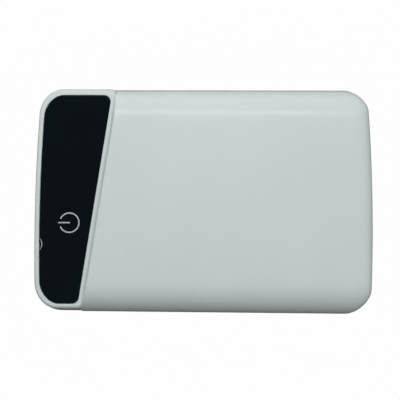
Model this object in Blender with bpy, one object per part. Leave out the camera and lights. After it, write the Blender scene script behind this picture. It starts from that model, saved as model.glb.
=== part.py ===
"""Pocket power bank with a slanted dark display window.

Three round lithium cells lie side by side in a two-part plastic case that is rolled along its long
edges. The port end is a lower, flat head that carries the display window and, under it, the circuit
board with its sockets, the display and the push button in the side wall.

Frame: origin at the middle of the base, +X towards the plain tail, -X the port end, +Z up through the
display face. Dimensions below are in millimetres and are written to the meshes in metres.
"""
import math

import bmesh
import bpy
from mathutils import Vector

MM = 0.001

# ---------------------------------------------------------------- driving dimensions (mm)
LENGTH = 92.0
WIDTH = 61.4
HEIGHT = 22.4
WALL = 1.6
HALF_L = LENGTH / 2
HALF_W = WIDTH / 2

SIDE_ROLL_R = 8.0          # roll of the long edges, top and bottom
TAIL_ROLL_X = 5.8          # elliptical roll of the tail, along X ...
TAIL_ROLL_Z = 4.2          # ... and along Z
HEAD_FOOT_R = 1.5          # small fillet under the port end
CORNER_HEAD = 8.15         # plan radius of the corners at the port end
CORNER_TAIL = 6.5          # plan radius of the corners at the tail
CORNER_TAIL_X = 39.0       # where the tail corners start
BULGE_HEAD = 0.94          # the two short ends bow outwards
BULGE_TAIL = 1.0

PARTING_Z = HEIGHT / 2     # the case splits at mid height
SHUT_GAP = 0.1             # half of the visible shut line

STEP = 2.0                 # the head lies this far below the crown
HEAD_Z = HEIGHT - STEP
HEAD_EDGE_R = 0.9          # fillet round the top of the head
HEAD_LEAN_Z = 12.8         # from here up the head's wall curves in ...
HEAD_LEAN_X = 1.48         # ... by this much at the port end when it meets the fillet
HEAD_LEAN_Y = 1.10         # ... and by this much at the long sides
SLANT = 0.141              # the window's inner edge moves this far along X for each mm of Y
WINDOW_X = -28.15          # ... and crosses Y = 0 here
FLANK = ((0.60, 0.0), (1.00, 0.25), (1.90, 1.75), (2.50, 2.0))   # step from head to crown: (along X, up)

WINDOW_IN_X = 3.25         # the window's outline lies this far inside the case outline at the port end
WINDOW_IN_Y = 2.87         # ... and at the long sides
WINDOW_R = 5.8             # its corners at the port end
WINDOW_INNER_R = 1.75      # its corners beside the step
WINDOW_T = 1.5
WINDOW_TOP = HEAD_Z - 0.1
POCKET_FLOOR = 18.5
HEAD_CEILING = 17.2

BOARD_Z0, BOARD_Z1 = 6.6, 8.2
CELL_R = 9.2
CELL_PITCH = 18.5
CELL_X0, CELL_X1 = -22.3, 41.8
USB_A_Y = 13.2
BUTTON_X, BUTTON_Z = -33.5, PARTING_Z
BUTTON_W, BUTTON_H = 8.6, 2.8
BUTTON_GAP = 0.2
SCREW_X, SCREW_Y = -27.0, 22.0


# ---------------------------------------------------------------- scene and mesh helpers
for old in list(bpy.data.objects):
    bpy.data.objects.remove(old, do_unlink=True)


def make_material(name, colour, roughness, metallic=0.0):
    mat = bpy.data.materials.new(name + "_material")
    mat.use_nodes = True
    shader = mat.node_tree.nodes["Principled BSDF"]
    shader.inputs["Base Color"].default_value = (*colour, 1.0)
    shader.inputs["Roughness"].default_value = roughness
    shader.inputs["Metallic"].default_value = metallic
    mat.diffuse_color = (*colour, 1.0)
    return mat


def make_object(name, bm, origin=(0.0, 0.0, 0.0)):
    """A mesh object from a bmesh drawn in millimetres, with its origin at the given point."""
    bmesh.ops.recalc_face_normals(bm, faces=bm.faces)
    for v in bm.verts:
        v.co = (v.co - Vector(origin)) * MM
    mesh = bpy.data.meshes.new(name)
    bm.to_mesh(mesh)
    bm.free()
    ob = bpy.data.objects.new(name, mesh)
    ob.location = Vector(origin) * MM
    bpy.context.scene.collection.objects.link(ob)
    return ob


def finish(ob, colour, roughness, metallic=0.0, sharp=35.0):
    ob.data.materials.clear()
    ob.data.materials.append(make_material(ob.name, colour, roughness, metallic))
    ob.data.shade_smooth()
    ob.data.set_sharp_from_angle(angle=math.radians(sharp))
    return ob


def boolean(ob, tool, operation):
    """Apply one exact Boolean and drop the tool."""
    mod = ob.modifiers.new("cut", "BOOLEAN")
    mod.operation = operation
    mod.solver = "EXACT"
    mod.object = tool
    bpy.context.view_layer.update()
    graph = bpy.context.evaluated_depsgraph_get()
    mesh = bpy.data.meshes.new_from_object(ob.evaluated_get(graph))
    ob.modifiers.clear()
    before = ob.data
    ob.data = mesh
    mesh.name = ob.name
    bpy.data.meshes.remove(before)
    bpy.data.objects.remove(tool, do_unlink=True)
    return ob


def cut(ob, bm):
    return boolean(ob, make_object("tool", bm), "DIFFERENCE")


def join(ob, bm):
    return boolean(ob, make_object("tool", bm), "UNION")


def loft(rings, bm=None):
    """Skin a stack of closed rings of equal length and close both ends."""
    bm = bm or bmesh.new()
    rows = [[bm.verts.new(p) for p in ring] for ring in rings]
    n = len(rows[0])
    for low, high in zip(rows, rows[1:]):
        for i in range(n):
            j = (i + 1) % n
            bm.faces.new((low[i], low[j], high[j], high[i]))
    bm.faces.new(rows[0][::-1])
    bm.faces.new(rows[-1])
    return bm


def prism(outline, z0, z1):
    return loft([[(x, y, z) for x, y in outline] for z in (z0, z1)])


def box(x0, x1, y0, y1, z0, z1, bevel=0.0, segments=2):
    bm = prism([(x0, y0), (x1, y0), (x1, y1), (x0, y1)], z0, z1)
    if bevel:
        bmesh.ops.bevel(bm, geom=bm.edges[:], offset=bevel, segments=segments, profile=0.5, affect="EDGES")
    return bm


def turned(profile, centre, axis="Z", steps=24):
    """Turn a closed profile of (radius, along) points, given anticlockwise, about an axis."""
    bm = bmesh.new()
    cx, cy, cz = centre

    def place(r, a, k):
        c, s = math.cos(2 * math.pi * k / steps), math.sin(2 * math.pi * k / steps)
        if axis == "X":
            return (cx + a, cy + r * c, cz + r * s)
        if axis == "Y":
            return (cx + r * s, cy + a, cz + r * c)
        return (cx + r * c, cy + r * s, cz + a)

    rows = []
    for r, a in profile:
        rows.append([bm.verts.new(place(0.0, a, 0))] if r < 1e-9 else [bm.verts.new(place(r, a, k)) for k in range(steps)])
    closed = min(r for r, _ in profile) > 1e-9
    pairs = list(zip(rows, rows[1:])) + ([(rows[-1], rows[0])] if closed else [])
    for low, high in pairs:
        if len(low) == 1 and len(high) == 1:
            continue
        for k in range(steps):
            j = (k + 1) % steps
            if len(low) == 1:
                bm.faces.new((low[0], high[j], high[k]))
            elif len(high) == 1:
                bm.faces.new((low[k], low[j], high[0]))
            else:
                bm.faces.new((low[k], low[j], high[j], high[k]))
    return bm


def cylinder(radius, a0, a1, centre, axis="Z", steps=24, edge=0.0):
    if edge:
        e = edge * 0.293
        profile = [(0.0, a0), (radius - edge, a0), (radius - e, a0 + e), (radius, a0 + edge),
                   (radius, a1 - edge), (radius - e, a1 - e), (radius - edge, a1), (0.0, a1)]
    else:
        profile = [(0.0, a0), (radius, a0), (radius, a1), (0.0, a1)]
    return turned(profile, centre, axis, steps)


# ---------------------------------------------------------------- outlines
def rounded(corners, radii, seg=6):
    """Round each corner of an anticlockwise polygon."""
    pts = []
    n = len(corners)
    for i in range(n):
        p, c, q = (Vector(corners[(i + k) % n]) for k in (-1, 0, 1))
        u, v = (p - c).normalized(), (q - c).normalized()
        half = u.angle(v) / 2
        r = radii[i]
        start = c + u * (r / math.tan(half))
        end = c + v * (r / math.tan(half))
        mid = c + (u + v).normalized() * (r / math.sin(half))
        a0 = math.atan2(start.y - mid.y, start.x - mid.x)
        turn = (math.atan2(end.y - mid.y, end.x - mid.x) - a0 + math.pi) % (2 * math.pi) - math.pi
        for k in range(seg + 1):
            a = a0 + turn * k / seg
            pts.append((mid.x + r * math.cos(a), mid.y + r * math.sin(a)))
    return pts


def window_line(y, offset=0.0):
    """X of the slanted line through the window's inner edge, moved right by the offset."""
    return WINDOW_X + SLANT * y + offset


def lean(z):
    """How much of the head wall's lean is reached at a height, from 0 to 1."""
    return min(max((z - HEAD_LEAN_Z) / (HEAD_Z - HEAD_EDGE_R - HEAD_LEAN_Z), 0.0), 1.0) ** 1.6


def head_outline(in_x, in_y, right, right_r, left_r=None, proud=0.0, seg=6):
    """Outline inside the case outline by in_x at the port end and in_y at the sides, closed by the slanted line."""
    yh = HALF_W + proud - in_y
    x0 = -HALF_L + in_x
    corners = [(x0, -yh), (window_line(-yh, right), -yh), (window_line(yh, right), yh), (x0, yh)]
    r = left_r or CORNER_HEAD - (in_x + in_y) / 2
    pts = rounded(corners, (r, right_r, right_r, r), seg)
    out = []
    for i, (x, y) in enumerate(pts):
        out.append((x, y))
        xn, yn = pts[(i + 1) % len(pts)]
        if abs(x - x0) < 1e-3 and abs(xn - x0) < 1e-3 and abs(yn - y) > 5:
            out += [(x0, y + (yn - y) * k / 8) for k in range(1, 8)]
    return [(x + BULGE_HEAD * (y / HALF_W) ** 2 * min(max((x0 + r - x) / r, 0.0), 1.0), y) for x, y in out]


def window_outline(grow=0.0):
    return head_outline(WINDOW_IN_X - grow, WINDOW_IN_Y - grow, grow, max(WINDOW_INNER_R + grow, 0.3), WINDOW_R + grow)


def case_ring(dy, dx_head, dx_tail, z, seg=6, ends=8):
    """One horizontal ring of the case, moved in by dy at the long sides and by dx at the ends."""
    yh = HALF_W - dy
    b_head = max(CORNER_HEAD - 0.6 * dy, 0.6)
    b_tail = max(CORNER_TAIL - 0.6 * dy, 0.6)
    xh = -HALF_L + CORNER_HEAD
    a_head = xh - (-HALF_L + dx_head)
    a_tail = (HALF_L - dx_tail) - CORNER_TAIL_X
    ring = []

    def corner(xc, a, bulge, sign_x, yc, b, t):
        y = yc + b * math.sin(t)
        c = math.cos(t)
        bow = bulge * (y / HALF_W) ** 2
        ring.append((xc + c * a - abs(c) * bow * sign_x, y, z))

    def end(xe, bulge, sign_x, y0, y1):
        for k in range(1, ends):
            y = y0 + (y1 - y0) * k / ends
            ring.append((xe - sign_x * bulge * (y / HALF_W) ** 2, y, z))

    yt, yb = yh - b_tail, yh - b_head
    for k in range(seg + 1):
        corner(CORNER_TAIL_X, a_tail, BULGE_TAIL, 1, -yt, b_tail, math.radians(-90 + 90 * k / seg))
    end(CORNER_TAIL_X + a_tail, BULGE_TAIL, 1, -yt, yt)
    for k in range(seg + 1):
        corner(CORNER_TAIL_X, a_tail, BULGE_TAIL, 1, yt, b_tail, math.radians(90 * k / seg))
    for k in range(seg + 1):
        corner(xh, a_head, BULGE_HEAD, -1, yb, b_head, math.radians(90 + 90 * k / seg))
    end(xh - a_head, BULGE_HEAD, -1, yb, -yb)
    for k in range(seg + 1):
        corner(xh, a_head, BULGE_HEAD, -1, -yb, b_head, math.radians(180 + 90 * k / seg))
    return ring


def arc_in(rise, radius_z, radius_in):
    """How far an elliptical roll has moved in after rising this far above its start."""
    s = min(max(rise / radius_z, 0.0), 1.0)
    return radius_in * (1 - math.sqrt(1 - s * s))


ROLL_STEPS = (0.0, 0.26, 0.5, 0.71, 0.87, 0.955, 0.99, 1.0)


def case_rings(wall, z_far, z_near, upward, head_r):
    """Rings of one half of the case, or of its cavity when wall is not 0, from the parting side outwards."""
    roll = SIDE_ROLL_R - wall
    tail_z = TAIL_ROLL_Z - wall
    tail_x = TAIL_ROLL_X if not wall else 3.6
    start = abs(z_far) - roll
    levels = [z_near] + [start + roll * s for s in ROLL_STEPS]
    rings = []
    for level in levels:
        dy = wall + arc_in(level - start, roll, roll)
        dxt = wall + arc_in(level - (abs(z_far) - tail_z), tail_z, tail_x)
        dxh = wall + (arc_in(level - (abs(z_far) - head_r), head_r, head_r) if head_r else 0.0)
        if upward:
            dxh += HEAD_LEAN_X * lean(PARTING_Z + level) + (0.0 if wall else 1.0)
        rings.append((dy, dxh, dxt, PARTING_Z + (level if upward else -level)))
    made = [case_ring(*r) for r in rings]
    return made if upward else made[::-1]


# ---------------------------------------------------------------- upper shell
half_h = HEIGHT / 2
upper = make_object("upper_shell", loft(case_rings(0.0, half_h, SHUT_GAP, True, 0.0)))

# take away the cover left of the flank, then add the flat head
flank = [(FLANK[0][0], -9.4)] + list(FLANK) + [(FLANK[-1][0] + 6.0, FLANK[-1][1] + 2.0)]
section = [(a, HEAD_Z + b) for a, b in flank]
bm = bmesh.new()
rows = []
for y in (-40.0, 40.0):
    row = [bm.verts.new((window_line(y, a), y, z)) for a, z in section]
    row += [bm.verts.new((-70.0, y, section[-1][1])), bm.verts.new((-70.0, y, section[0][1]))]
    rows.append(row)
count = len(rows[0])
for i in range(count):
    j = (i + 1) % count
    bm.faces.new((rows[0][i], rows[0][j], rows[1][j], rows[1][i]))
bm.faces.new(rows[0])
bm.faces.new(rows[1][::-1])
cut(upper, bm)

head_levels = [(0.0, 0.0, PARTING_Z + SHUT_GAP)]
for z in (HEAD_LEAN_Z, 14.4, 16.0, 17.7, HEAD_Z - HEAD_EDGE_R):
    head_levels.append((HEAD_LEAN_X * lean(z), HEAD_LEAN_Y * lean(z), z))
for k in range(1, 5):
    a = math.radians(90 * k / 4)
    side = HEAD_EDGE_R * (1 - math.cos(a))
    head_levels.append((HEAD_LEAN_X + side, HEAD_LEAN_Y + side, HEAD_Z - HEAD_EDGE_R * (1 - math.sin(a))))
right = FLANK[-1][0] - 0.3


def inner_corner(z):
    """Plan radius of the head's corners beside the step: tight down the side walls, wide at the top."""
    t = min(max((z - 14.4) / (HEAD_Z - 14.4), 0.0), 1.0)
    return 0.5 + 1.3 * t * t * (3 - 2 * t)


join(upper, loft([[(x, y, z) for x, y in head_outline(dx, dy, right, inner_corner(z), proud=0.02)] for dx, dy, z in head_levels]))

# cavity: low under the head, full height under the crown
cavity = make_object("cavity", loft(case_rings(WALL, half_h - WALL, -1.0, True, 0.0)))
keep = bmesh.new()
pts = [(window_line(-40, 2.1), -40), (80, -40), (80, 40), (window_line(40, 2.1), 40)]
keep = prism(pts, 5.0, 30.0)
low = box(-70, 80, -45, 45, 5.0, HEAD_CEILING)
low_ob = make_object("low", low)
join(low_ob, keep)
boolean(cavity, low_ob, "INTERSECT")
boolean(upper, cavity, "DIFFERENCE")

# rebate for the lower shell's lip
rebate = [case_ring(0.95, 0.95, 0.95, z) for z in (PARTING_Z - 1.0, 12.6)]
cut(upper, loft(rebate))

# window pocket and the opening over the display
cut(upper, prism(window_outline(0.12), POCKET_FLOOR, 25.0))
cut(upper, prism(rounded([(-41.0, 3.4), (-31.4, 3.4), (-31.4, 24.6), (-41.0, 24.6)], (0.8,) * 4, 3), 16.0, 19.5))
# two pegs that hold the display board down
for y in (5.0, 23.0):
    join(upper, cylinder(1.0, 15.65, 17.8, (-29.4, y, 0.0), steps=12))

# ---------------------------------------------------------------- lower shell
lower = make_object("lower_shell", loft(case_rings(0.0, half_h, SHUT_GAP, False, HEAD_FOOT_R)))
join(lower, loft([case_ring(1.1, 1.1, 1.1, z) for z in (PARTING_Z - 0.8, 12.4)]))
cut(lower, loft(case_rings(WALL, half_h - WALL, -2.5, False, 0.8)))
for y in (-SCREW_Y, SCREW_Y):
    join(lower, cylinder(2.3, 0.9, 6.4, (SCREW_X, y, 0.0), steps=16))
    cut(lower, cylinder(1.15, 2.8, 7.0, (SCREW_X, y, 0.0), steps=12))
for y in (-10.5, 10.5):
    join(lower, cylinder(1.2, 0.9, 6.35, (-41.0, y, 0.0), steps=12))

# ---------------------------------------------------------------- openings in both halves
def usb_a_cut(y):
    return box(-50.0, -42.5, y - 6.85, y + 6.85, 8.1, 14.3)


def usb_c_outline(width, height, z0, seg=4):
    r = height / 2 - 0.001
    return rounded([(-width / 2, z0), (width / 2, z0), (width / 2, z0 + height), (-width / 2, z0 + height)],
                   (r,) * 4, seg)


def along_x(outline, x0, x1, y=0.0):
    """Prism along X from an outline of (across, up) points."""
    return loft([[(x, y + a, z) for a, z in outline] for x in (x0, x1)])


def along_y(outline, y0, y1, x=0.0):
    return loft([[(x + a, y, z) for a, z in outline] for y in (y0, y1)])


def slot(width, height, seg=5):
    r = height / 2 - 0.001
    z0 = BUTTON_Z - height / 2
    return rounded([(-width / 2, z0), (width / 2, z0), (width / 2, z0 + height), (-width / 2, z0 + height)],
                   (r,) * 4, seg)


for shell in (upper, lower):
    for y in (-USB_A_Y, USB_A_Y):
        cut(shell, usb_a_cut(y))
    cut(shell, along_x(usb_c_outline(8.94 + 0.5, 3.2 + 0.5, 8.1), -50.0, -42.5))
    cut(shell, along_y(slot(BUTTON_W + 2 * BUTTON_GAP, BUTTON_H + 2 * BUTTON_GAP), -34.0, -28.0, BUTTON_X))

finish(upper, (0.62, 0.66, 0.66), 0.42)
finish(lower, (0.62, 0.66, 0.66), 0.42)

# ---------------------------------------------------------------- window and its tape
bm = loft([[(x, y, z) for x, y in window_outline(-d)]
           for d, z in ((0.0, WINDOW_TOP - WINDOW_T), (0.0, WINDOW_TOP - 0.15), (0.15, WINDOW_TOP))])
finish(make_object("display_window", bm), (0.008, 0.010, 0.012), 0.08)

tape = make_object("window_tape", prism(window_outline(-0.4), 18.55, 18.75))
cut(tape, prism(window_outline(-1.55), 18.0, 19.0))
finish(tape, (0.02, 0.02, 0.02), 0.8)

# ---------------------------------------------------------------- circuit board and sockets
outline = [(-38.4, -27.0), (-24.8, -27.0), (-24.8, 27.0), (-38.4, 27.0), (-43.4, 22.0), (-43.4, -22.0)]
board = make_object("main_board", prism(outline, BOARD_Z0, BOARD_Z1))
for y in (-SCREW_Y, SCREW_Y):
    cut(board, cylinder(1.3, 6.0, 9.0, (SCREW_X, y, 0.0), steps=12))
finish(board, (0.02, 0.16, 0.06), 0.5)

for n, y in (("1", USB_A_Y), ("2", -USB_A_Y)):
    x0, x1, z0, z1 = -45.2, -31.3, 8.35, 14.05
    shell = make_object("usb_a_shell_" + n, box(x0, x1, y - 6.6, y + 6.6, z0, z1, 0.3, 1))
    cut(shell, box(x0 - 2.0, x1 - 0.4, y - 6.25, y + 6.25, z0 + 0.35, z1 - 0.35))
    finish(shell, (0.75, 0.75, 0.76), 0.3, 1.0)
    insert = make_object("usb_a_tongue_" + n, box(-44.4, -34.4, y - 5.6, y + 5.6, 11.4, 13.2, 0.15, 1))
    join(insert, box(-35.4, -31.95, y - 6.0, y + 6.0, 8.95, 13.45))
    finish(insert, (0.9, 0.9, 0.88), 0.5)

shell = make_object("usb_c_shell", along_x(usb_c_outline(8.94, 3.2, 8.35), -45.4, -36.4))
cut(shell, along_x(usb_c_outline(8.34, 2.6, 8.65), -47.0, -36.75))
finish(shell, (0.75, 0.75, 0.76), 0.3, 1.0)
tongue = make_object("usb_c_tongue", box(-44.8, -38.6, -3.35, 3.35, 9.6, 10.3, 0.12, 1))
join(tongue, along_x(usb_c_outline(8.1, 2.36, 8.77), -39.6, -36.9))
finish(tongue, (0.03, 0.03, 0.03), 0.5)

for n, y in (("1", SCREW_Y), ("2", -SCREW_Y)):
    profile = [(0.0, 3.6), (0.55, 3.6), (0.85, 4.2), (0.85, 8.35), (2.0, 8.35), (2.0, 8.9), (1.5, 9.5), (0.0, 9.5)]
    screw = make_object("board_screw_" + n, turned(profile, (SCREW_X, y, 0.0), steps=16))
    cut(screw, box(SCREW_X - 1.0, SCREW_X + 1.0, y - 0.2, y + 0.2, 9.0, 10.0))
    finish(screw, (0.5, 0.5, 0.5), 0.35, 1.0)

finish(make_object("power_inductor", box(-36.6, -29.6, 3.0, 10.0, 3.1, 6.3, 0.5, 2)), (0.10, 0.10, 0.10), 0.6)
finish(make_object("controller_ic", box(-38.5, -32.5, -8.5, -2.5, 5.4, 6.35, 0.12, 1)), (0.03, 0.03, 0.03), 0.5)
for n, (x, y) in enumerate(((-39.0, 5.0), (-30.0, -6.0), (-30.0, -11.0)), 1):
    finish(make_object("capacitor_%d" % n, box(x - 1.6, x + 1.6, y - 1.25, y + 1.25, 4.6, 6.35, 0.2, 1)),
           (0.45, 0.33, 0.22), 0.5)

# ---------------------------------------------------------------- display under the window
finish(make_object("display_board", box(-42.3, -28.0, 3.4, 24.6, 14.5, 15.5)), (0.02, 0.16, 0.06), 0.5)
finish(make_object("display_module", box(-40.5, -31.9, 3.9, 24.1, 15.65, 18.3, 0.25, 1)), (0.05, 0.05, 0.05), 0.3)
finish(make_object("display_header", box(-30.7, -28.5, 9.0, 19.0, 8.4, 14.3)), (0.03, 0.03, 0.03), 0.6)

# ---------------------------------------------------------------- push button and its switch
button_origin = (BUTTON_X, -HALF_W, BUTTON_Z)
bm = along_y(slot(BUTTON_W, BUTTON_H), -30.45, -28.4, BUTTON_X)
cap = make_object("power_button", bm, button_origin)


def join_at(ob, bm, origin):
    tool = make_object("tool", bm, origin)
    return boolean(ob, tool, "UNION")


join_at(cap, along_y(slot(BUTTON_W - 0.4, BUTTON_H - 0.4), -30.65, -30.2, BUTTON_X), button_origin)
join_at(cap, along_y(slot(BUTTON_W + 2.2, BUTTON_H + 2.0), -28.8, -28.2, BUTTON_X), button_origin)
join_at(cap, cylinder(1.2, -28.4, -27.3, (BUTTON_X, 0.0, BUTTON_Z), "Y", 12), button_origin)
finish(cap, (0.62, 0.66, 0.66), 0.42)

plunger_origin = (BUTTON_X, -27.0, BUTTON_Z)
finish(make_object("switch_plunger", cylinder(0.8, -27.0, -25.8, (BUTTON_X, 0.0, BUTTON_Z), "Y", 12, 0.15), plunger_origin),
       (0.03, 0.03, 0.03), 0.5)
switch = make_object("tact_switch", box(BUTTON_X - 2.6, BUTTON_X + 2.6, -26.2, -22.6, 8.4, 13.2, 0.2, 1))
cut(switch, cylinder(1.0, -28.0, -24.9, (BUTTON_X, 0.0, BUTTON_Z), "Y", 12))
finish(switch, (0.7, 0.7, 0.7), 0.4, 1.0)

# ---------------------------------------------------------------- cells, strips and leads
for n, y in enumerate((-CELL_PITCH, 0.0, CELL_PITCH), 1):
    r, e = CELL_R, 0.8
    profile = [(0.0, CELL_X0 - 0.9), (2.9, CELL_X0 - 0.9), (3.1, CELL_X0 - 0.6), (3.1, CELL_X0), (r - e, CELL_X0), (r - 0.235, CELL_X0 + 0.235),
               (r, CELL_X0 + e), (r, CELL_X1 - e), (r - 0.235, CELL_X1 - 0.235), (r - e, CELL_X1), (0.0, CELL_X1)]
    finish(make_object("cell_%d" % n, turned(profile, (0.0, y, PARTING_Z), "X", 32)), (0.02, 0.16, 0.42), 0.35)
    ring = [(4.0, CELL_X0 - 0.5), (7.6, CELL_X0 - 0.5), (7.6, CELL_X0 - 0.1), (4.0, CELL_X0 - 0.1)]
    finish(make_object("cell_ring_%d" % n, turned(ring, (0.0, y, PARTING_Z), "X", 20)), (0.9, 0.9, 0.85), 0.8)

strip_z0, strip_z1 = PARTING_Z - 2.5, PARTING_Z + 2.5
finish(make_object("positive_strip", box(CELL_X0 - 1.45, CELL_X0 - 1.2, -21.5, 21.5, strip_z0, strip_z1)),
       (0.7, 0.68, 0.64), 0.35, 1.0)
finish(make_object("negative_strip", box(CELL_X1 + 0.3, CELL_X1 + 0.55, -21.5, 21.5, strip_z0, strip_z1)),
       (0.7, 0.68, 0.64), 0.35, 1.0)
finish(make_object("cell_insulator", box(-24.3, -24.05, -26.0, 26.0, 3.2, 13.9)), (0.75, 0.72, 0.6), 0.8)


def smooth_route(points, count):
    """Points evenly spaced in parameter on a Catmull-Rom curve through the given points."""
    pts = [Vector(p) for p in points]
    pts = [pts[0] * 2 - pts[1]] + pts + [pts[-1] * 2 - pts[-2]]
    spans = len(pts) - 3
    out = []
    for k in range(count + 1):
        t = spans * k / count
        i = min(int(t), spans - 1)
        u = t - i
        a, b, c, d = pts[i:i + 4]
        out.append(0.5 * ((2 * b) + (c - a) * u + (2 * a - 5 * b + 4 * c - d) * u * u + (3 * b - a - 3 * c + d) * u ** 3))
    return out


def wire(name, points, count, radius, colour):
    curve = bpy.data.curves.new(name, "CURVE")
    curve.dimensions = "3D"
    curve.bevel_depth = radius * MM
    curve.bevel_resolution = 2
    curve.use_fill_caps = True
    route = smooth_route(points, count)
    spline = curve.splines.new("POLY")
    spline.points.add(len(route) - 1)
    for p, q in zip(spline.points, route):
        p.co = (*(q * MM), 1.0)
    ob = bpy.data.objects.new(name, curve)
    curve.materials.append(make_material(name, colour, 0.45))
    bpy.context.scene.collection.objects.link(ob)
    return ob


wire("positive_lead", [(-23.6, -9.25, 14.2), (-23.9, -9.25, 15.3), (-24.9, -9.25, 15.4), (-25.7, -9.25, 14.0),
                       (-25.9, -9.25, 11.5), (-25.9, -9.25, 8.6)], 20, 0.5, (0.6, 0.02, 0.02))
wire("negative_lead", [(42.7, 9.25, 14.0), (42.6, 9.25, 15.4), (41.6, 9.25, 16.4), (39.5, 9.25, 16.6), (20.0, 9.25, 16.6),
                       (0.0, 9.25, 16.6), (-20.0, 9.25, 16.6), (-23.6, 9.25, 16.5), (-25.4, 9.25, 15.3),
                       (-25.9, 9.25, 12.5), (-25.9, 9.25, 8.6)], 50, 0.5, (0.02, 0.02, 0.02))
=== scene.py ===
import math

import bmesh
import bpy
from mathutils import Matrix, Vector


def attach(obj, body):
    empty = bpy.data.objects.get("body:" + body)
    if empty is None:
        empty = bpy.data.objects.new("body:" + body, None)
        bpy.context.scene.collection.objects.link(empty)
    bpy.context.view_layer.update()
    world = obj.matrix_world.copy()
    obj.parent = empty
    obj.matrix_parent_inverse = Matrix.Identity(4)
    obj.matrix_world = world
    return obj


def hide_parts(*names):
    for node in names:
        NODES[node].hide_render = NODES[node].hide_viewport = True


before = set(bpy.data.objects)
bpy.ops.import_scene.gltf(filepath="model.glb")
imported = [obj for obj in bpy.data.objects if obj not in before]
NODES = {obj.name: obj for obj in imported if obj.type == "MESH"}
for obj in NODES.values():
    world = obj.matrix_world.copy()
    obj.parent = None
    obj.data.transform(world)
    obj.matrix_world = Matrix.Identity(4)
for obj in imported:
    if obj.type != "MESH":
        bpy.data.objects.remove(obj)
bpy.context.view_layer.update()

MM = 0.001

# ------------------------------------------------------------------------------------------------
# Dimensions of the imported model, in millimetres
# ------------------------------------------------------------------------------------------------
LENGTH, WIDTH, HEIGHT, WALL = 92.0, 61.4, 22.4, 1.6
HALF_L, HALF_W = LENGTH / 2, WIDTH / 2
SIDE_ROLL_R = 8.0
TAIL_ROLL_X, TAIL_ROLL_Z = 5.8, 4.2
HEAD_FOOT_R = 1.5
CORNER_HEAD, CORNER_TAIL, CORNER_TAIL_X = 8.15, 6.5, 39.0
BULGE_HEAD, BULGE_TAIL = 0.94, 1.0
PARTING_Z, SHUT_GAP = HEIGHT / 2, 0.1
STEP = 2.0
HEAD_Z = HEIGHT - STEP
HEAD_EDGE_R = 0.9
HEAD_LEAN_Z, HEAD_LEAN_X, HEAD_LEAN_Y = 12.8, 1.48, 1.10
SLANT, WINDOW_X = 0.141, -28.15
WINDOW_IN_X, WINDOW_IN_Y, WINDOW_R, WINDOW_INNER_R = 3.25, 2.87, 5.8, 1.75
WINDOW_T = 1.5
WINDOW_TOP = HEAD_Z - 0.1
POCKET_FLOOR, HEAD_CEILING = 18.5, 17.2
USB_A_Y = 13.2
BUTTON_X, BUTTON_Z, BUTTON_W, BUTTON_H, BUTTON_GAP = -33.5, PARTING_Z, 8.6, 2.8, 0.2
SCREW_X, SCREW_Y = -27.0, 22.0
CELL_R, CELL_PITCH, CELL_X0, CELL_X1 = 9.2, 18.5, -22.3, 41.8

RIB_PITCH, RIB_DEPTH, RIB_START = 0.529, 0.032, 38.537   # fine ribs across the cover, parted by narrow grooves
RIB_AT = (0.0, 0.13, 0.18, 0.265, 0.35, 0.40)       # from the middle of one rib towards the next
RIB_DOWN = (0.0, 0.0, 0.25, 1.0, 0.25, 0.0)
SHUT_EDGE = 0.14                    # rounding of the two edges at the parting line


# ------------------------------------------------------------------------------------------------
# Mesh helpers
# ------------------------------------------------------------------------------------------------
def make_object(name, bm, origin=(0.0, 0.0, 0.0), recalc=True):
    """A mesh object from a bmesh drawn in millimetres."""
    if recalc:
        bmesh.ops.recalc_face_normals(bm, faces=bm.faces)
    for v in bm.verts:
        v.co = (v.co - Vector(origin)) * MM
    mesh = bpy.data.meshes.new(name)
    bm.to_mesh(mesh)
    bm.free()
    ob = bpy.data.objects.new(name, mesh)
    ob.location = Vector(origin) * MM
    bpy.context.scene.collection.objects.link(ob)
    return ob


def freeze(ob):
    """Apply every modifier on the object."""
    bpy.context.view_layer.update()
    graph = bpy.context.evaluated_depsgraph_get()
    mesh = bpy.data.meshes.new_from_object(ob.evaluated_get(graph), preserve_all_data_layers=True, depsgraph=graph)
    ob.modifiers.clear()
    before = ob.data
    ob.data = mesh
    mesh.name = ob.name
    bpy.data.meshes.remove(before)
    return ob


def boolean(ob, tool, operation, keep=False):
    mod = ob.modifiers.new("cut", "BOOLEAN")
    mod.operation = operation
    mod.solver = "EXACT"
    mod.object = tool
    freeze(ob)
    if not keep:
        bpy.data.objects.remove(tool, do_unlink=True)
    return ob


def cut(ob, bm):
    return boolean(ob, make_object("tool", bm), "DIFFERENCE")


def join(ob, bm):
    return boolean(ob, make_object("tool", bm), "UNION")


def shade(ob, sharp=32.0, weighted=True):
    ob.data.shade_smooth()
    ob.data.set_sharp_from_angle(angle=math.radians(sharp))
    if weighted:
        mod = ob.modifiers.new("normals", "WEIGHTED_NORMAL")
        mod.keep_sharp = True
        mod.mode = "FACE_AREA"
        mod.weight = 50
        freeze(ob)
    return ob


def loft(rings, bm=None, caps=True):
    bm = bm or bmesh.new()
    rows = [[bm.verts.new(p) for p in ring] for ring in rings]
    n = len(rows[0])
    for low, high in zip(rows, rows[1:]):
        for i in range(n):
            j = (i + 1) % n
            bm.faces.new((low[i], low[j], high[j], high[i]))
    if caps:
        bm.faces.new(rows[0][::-1])
        bm.faces.new(rows[-1])
    return bm


def prism(outline, z0, z1, bm=None):
    return loft([[(x, y, z) for x, y in outline] for z in (z0, z1)], bm)


def box(x0, x1, y0, y1, z0, z1, bevel=0.0, segments=3, bm=None):
    made = prism([(x0, y0), (x1, y0), (x1, y1), (x0, y1)], z0, z1)
    if bevel:
        bmesh.ops.bevel(made, geom=made.edges[:], offset=bevel, segments=segments, profile=0.5, affect="EDGES")
    return merge(bm, made)


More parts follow.
